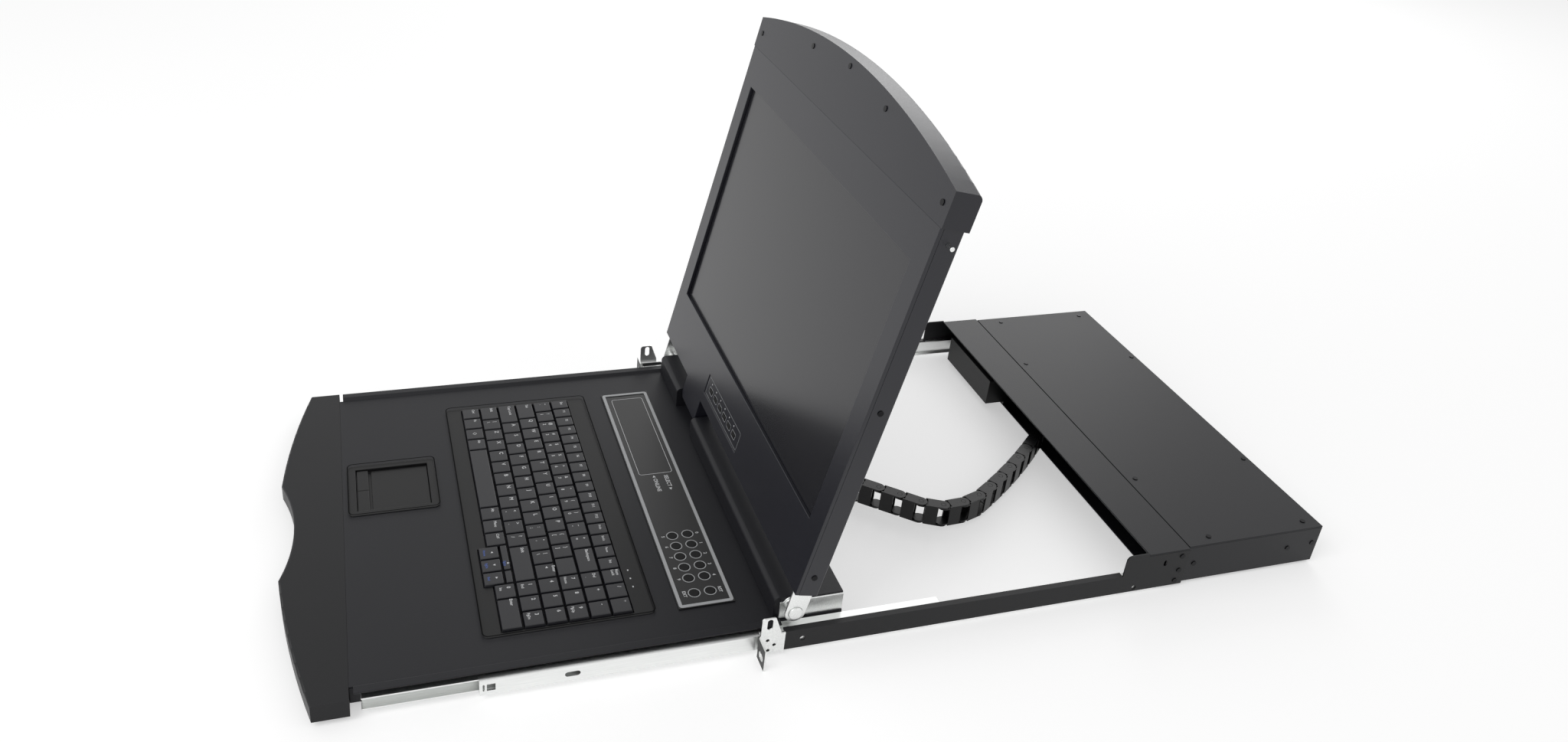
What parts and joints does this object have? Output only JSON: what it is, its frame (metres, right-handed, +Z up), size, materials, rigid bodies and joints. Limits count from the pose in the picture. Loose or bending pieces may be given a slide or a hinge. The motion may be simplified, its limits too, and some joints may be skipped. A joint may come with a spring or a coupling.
{
  "type": "rackmount lcd console drawer",
  "caption": "Rack drawer with a sliding keyboard tray, a fold-up flat screen on friction hinges, telescopic rails and a cable chain running back to the switch case.",
  "frame": {"origin": "Midway between the two slots of the front rack ears, on the front face of the ear flanges.", "axes": "+X to the user's right, +Y from the user towards the rear of the rack, +Z up. The tray is pulled out towards -Y."},
  "size_m": [0.4826, 0.983, 0.4627],
  "materials": {
    "rail_paint": "black powder coat on folded steel",
    "ear_steel": "zinc plated folded steel",
    "slide_steel": "rolled zinc plated steel",
    "case_paint": "dark grey fine textured paint",
    "box_plastic": "black matt plastic",
    "screw_steel": "zinc plated screw heads",
    "chain_plastic": "black glass filled nylon",
    "tray_paint": "black fine textured paint",
    "bezel_plastic": "dark grey fine textured plastic",
    "zinc_steel": "bright zinc plated steel",
    "frame_plastic": "black matt plastic",
    "pad_plastic": "smooth dark grey plastic",
    "panel_plastic": "dark overlay with a silver border",
    "button_rubber": "soft black silicone",
    "key_plastic": "matt black key caps with white legends",
    "lid_paint": "near black fine textured paint",
    "cover_plastic": "dark grey fine textured plastic",
    "screen_face": "matt anti-glare polariser, switched off",
    "pin_steel": "turned steel"
  },
  "bodies": {
    "chassis": {"rail_left": "rail_paint", "rail_right": "rail_paint", "rack_ear_left": "ear_steel", "rack_ear_right": "ear_steel", "slide_outer_left": "slide_steel", "slide_outer_right": "slide_steel", "bridge_plate": "case_paint", "switch_case": "case_paint", "switch_lid": "case_paint", "power_box": "box_plastic", "chassis_screws": "screw_steel", "chain_fixed_end": "chain_plastic"},
    "slide_middles": {"slide_middle_left": "slide_steel", "slide_middle_right": "slide_steel"},
    "tray": {"tray_pan": "tray_paint", "tray_plate": "tray_paint", "front_bezel": "bezel_plastic", "slide_inner_left": "slide_steel", "slide_inner_right": "slide_steel", "rear_housing": "tray_paint", "hinge_base_left": "zinc_steel", "hinge_base_right": "zinc_steel", "keyboard_frame": "frame_plastic", "touchpad_frame": "frame_plastic", "touchpad_pad": "pad_plastic", "hotkey_panel": "panel_plastic", "chain_tray_end": "chain_plastic"},
    "lid": {"lid_back": "lid_paint", "lid_bezel": "lid_paint", "lcd_panel": "screen_face", "lid_cover": "cover_plastic", "hinge_leaf_left": "zinc_steel", "hinge_leaf_right": "zinc_steel", "lid_screws": "screw_steel"},
    "function_keys": {"function_keys": "key_plastic"},
    "main_keys": {"main_keys": "key_plastic"},
    "space_bar": {"space_bar": "key_plastic"},
    "enter_key": {"enter_key": "key_plastic"},
    "arrow_keys": {"arrow_keys": "key_plastic"},
    "numpad_keys": {"numpad_keys": "key_plastic"},
    "touchpad_button_left": {"touchpad_button_left": "pad_plastic"},
    "touchpad_button_right": {"touchpad_button_right": "pad_plastic"},
    "hotkeys_front_row": {"hotkeys_front_row": "button_rubber"},
    "hotkeys_rear_row": {"hotkeys_rear_row": "button_rubber"},
    "osd_buttons": {"osd_buttons": "button_rubber"},
    "latch_pin_left": {"latch_pin_left": "pin_steel"},
    "latch_pin_right": {"latch_pin_right": "pin_steel"},
    "chain_run_1": {"chain_run_1": "chain_plastic"},
    "chain_run_2": {"chain_run_2": "chain_plastic"},
    "chain_run_3": {"chain_run_3": "chain_plastic"},
    "chain_run_4": {"chain_run_4": "chain_plastic"},
    "chain_run_5": {"chain_run_5": "chain_plastic"},
    "chain_run_6": {"chain_run_6": "chain_plastic"},
    "chain_run_7": {"chain_run_7": "chain_plastic"},
    "chain_run_8": {"chain_run_8": "chain_plastic"}
  },
  "joints": [
    {"name": "drawer_slide", "type": "slide", "parent": "chassis", "child": "tray", "axis": [0, 1, 0], "range_m": [0, 0.335]},
    {"name": "slide_middle_travel", "type": "slide", "parent": "chassis", "child": "slide_middles", "axis": [0, 1, 0], "range_m": [0, 0.238]},
    {"name": "lid_hinge", "type": "hinge", "parent": "tray", "child": "lid", "pos_m": [0, 0.0345, 0.0276], "axis": [1, 0, 0], "range_deg": [-15, 102.6]},
    {"name": "function_keys_press", "type": "slide", "parent": "tray", "child": "function_keys", "axis": [0, 0, -1], "range_m": [0, 0.0024], "stiffness_N_per_m": 900, "springref_m": -0.0003},
    {"name": "main_keys_press", "type": "slide", "parent": "tray", "child": "main_keys", "axis": [0, 0, -1], "range_m": [0, 0.0024], "stiffness_N_per_m": 3000, "springref_m": -0.0003},
    {"name": "space_bar_press", "type": "slide", "parent": "tray", "child": "space_bar", "axis": [0, 0, -1], "range_m": [0, 0.0024], "stiffness_N_per_m": 300, "springref_m": -0.0003},
    {"name": "enter_key_press", "type": "slide", "parent": "tray", "child": "enter_key", "axis": [0, 0, -1], "range_m": [0, 0.0024], "stiffness_N_per_m": 300, "springref_m": -0.0003},
    {"name": "arrow_keys_press", "type": "slide", "parent": "tray", "child": "arrow_keys", "axis": [0, 0, -1], "range_m": [0, 0.0024], "stiffness_N_per_m": 500, "springref_m": -0.0003},
    {"name": "numpad_keys_press", "type": "slide", "parent": "tray", "child": "numpad_keys", "axis": [0, 0, -1], "range_m": [0, 0.0024], "stiffness_N_per_m": 1000, "springref_m": -0.0003},
    {"name": "touchpad_button_left_press", "type": "slide", "parent": "tray", "child": "touchpad_button_left", "axis": [0, 0, -1], "range_m": [0, 0.0007], "stiffness_N_per_m": 600, "springref_m": -0.0003},
    {"name": "touchpad_button_right_press", "type": "slide", "parent": "tray", "child": "touchpad_button_right", "axis": [0, 0, -1], "range_m": [0, 0.0007], "stiffness_N_per_m": 600, "springref_m": -0.0003},
    {"name": "hotkeys_front_row_press", "type": "slide", "parent": "tray", "child": "hotkeys_front_row", "axis": [0, 0, -1], "range_m": [0, 0.0008], "stiffness_N_per_m": 800, "springref_m": -0.0003},
    {"name": "hotkeys_rear_row_press", "type": "slide", "parent": "tray", "child": "hotkeys_rear_row", "axis": [0, 0, -1], "range_m": [0, 0.0008], "stiffness_N_per_m": 800, "springref_m": -0.0003},
    {"name": "osd_buttons_press", "type": "slide", "parent": "lid", "child": "osd_buttons", "axis": [0, 0.9759, -0.2181], "range_m": [0, 0.0006], "stiffness_N_per_m": 500, "springref_m": -0.0003},
    {"name": "latch_pin_left_press", "type": "slide", "parent": "lid", "child": "latch_pin_left", "axis": [1, 0, 0], "range_m": [0, 0.006], "stiffness_N_per_m": 300, "springref_m": -0.0003},
    {"name": "latch_pin_right_press", "type": "slide", "parent": "lid", "child": "latch_pin_right", "axis": [-1, 0, 0], "range_m": [0, 0.006], "stiffness_N_per_m": 300, "springref_m": -0.0003},
    {"name": "chain_joint_1", "type": "hinge", "parent": "chassis", "child": "chain_run_1", "pos_m": [-0.056, 0.452, 0.0095], "axis": [0, 0, -1], "range_deg": [-45.2, 0]},
    {"name": "chain_joint_2", "type": "hinge", "parent": "chain_run_1", "child": "chain_run_2", "pos_m": [0.00777, 0.38856, 0.0095], "axis": [0, 0, -1], "range_deg": [-4.3, 0]},
    {"name": "chain_joint_3", "type": "hinge", "parent": "chain_run_2", "child": "chain_run_3", "pos_m": [0.05042, 0.33627, 0.0095], "axis": [0, 0, -1], "range_deg": [-4.3, 0]},
    {"name": "chain_joint_4", "type": "hinge", "parent": "chain_run_3", "child": "chain_run_4", "pos_m": [0.08825, 0.28039, 0.0095], "axis": [0, 0, -1], "range_deg": [0, 43.4]},
    {"name": "chain_joint_5", "type": "hinge", "parent": "chain_run_4", "child": "chain_run_5", "pos_m": [0.09502, 0.25893, 0.0095], "axis": [0, 0, -1], "range_deg": [0, 36]},
    {"name": "chain_joint_6", "type": "hinge", "parent": "chain_run_5", "child": "chain_run_6", "pos_m": [0.09604, 0.23646, 0.0095], "axis": [0, 0, -1], "range_deg": [0, 29.1]},
    {"name": "chain_joint_7", "type": "hinge", "parent": "chain_run_6", "child": "chain_run_7", "pos_m": [0.086, 0.21632, 0.0095], "axis": [0, 0, -1], "range_deg": [-4.1, 0]},
    {"name": "chain_joint_8", "type": "hinge", "parent": "chain_run_7", "child": "chain_run_8", "pos_m": [-0.03304, 0.0813, 0.0095], "axis": [0, 0, -1], "range_deg": [-51, 0]}
  ],
  "couplings": [
    {"joint": "slide_middle_travel", "follows": "drawer_slide", "ratio": 0.71044},
    {"joint": "chain_joint_1", "follows": "drawer_slide", "rad_per_m": -2.3445},
    {"joint": "chain_joint_2", "follows": "drawer_slide", "rad_per_m": -0.21361},
    {"joint": "chain_joint_3", "follows": "drawer_slide", "rad_per_m": -0.21361},
    {"joint": "chain_joint_4", "follows": "drawer_slide", "rad_per_m": 2.2507},
    {"joint": "chain_joint_5", "follows": "drawer_slide", "rad_per_m": 1.8652},
    {"joint": "chain_joint_6", "follows": "drawer_slide", "rad_per_m": 1.5057},
    {"joint": "chain_joint_7", "follows": "drawer_slide", "rad_per_m": -0.20319},
    {"joint": "chain_joint_8", "follows": "drawer_slide", "rad_per_m": -2.6467}
  ]
}
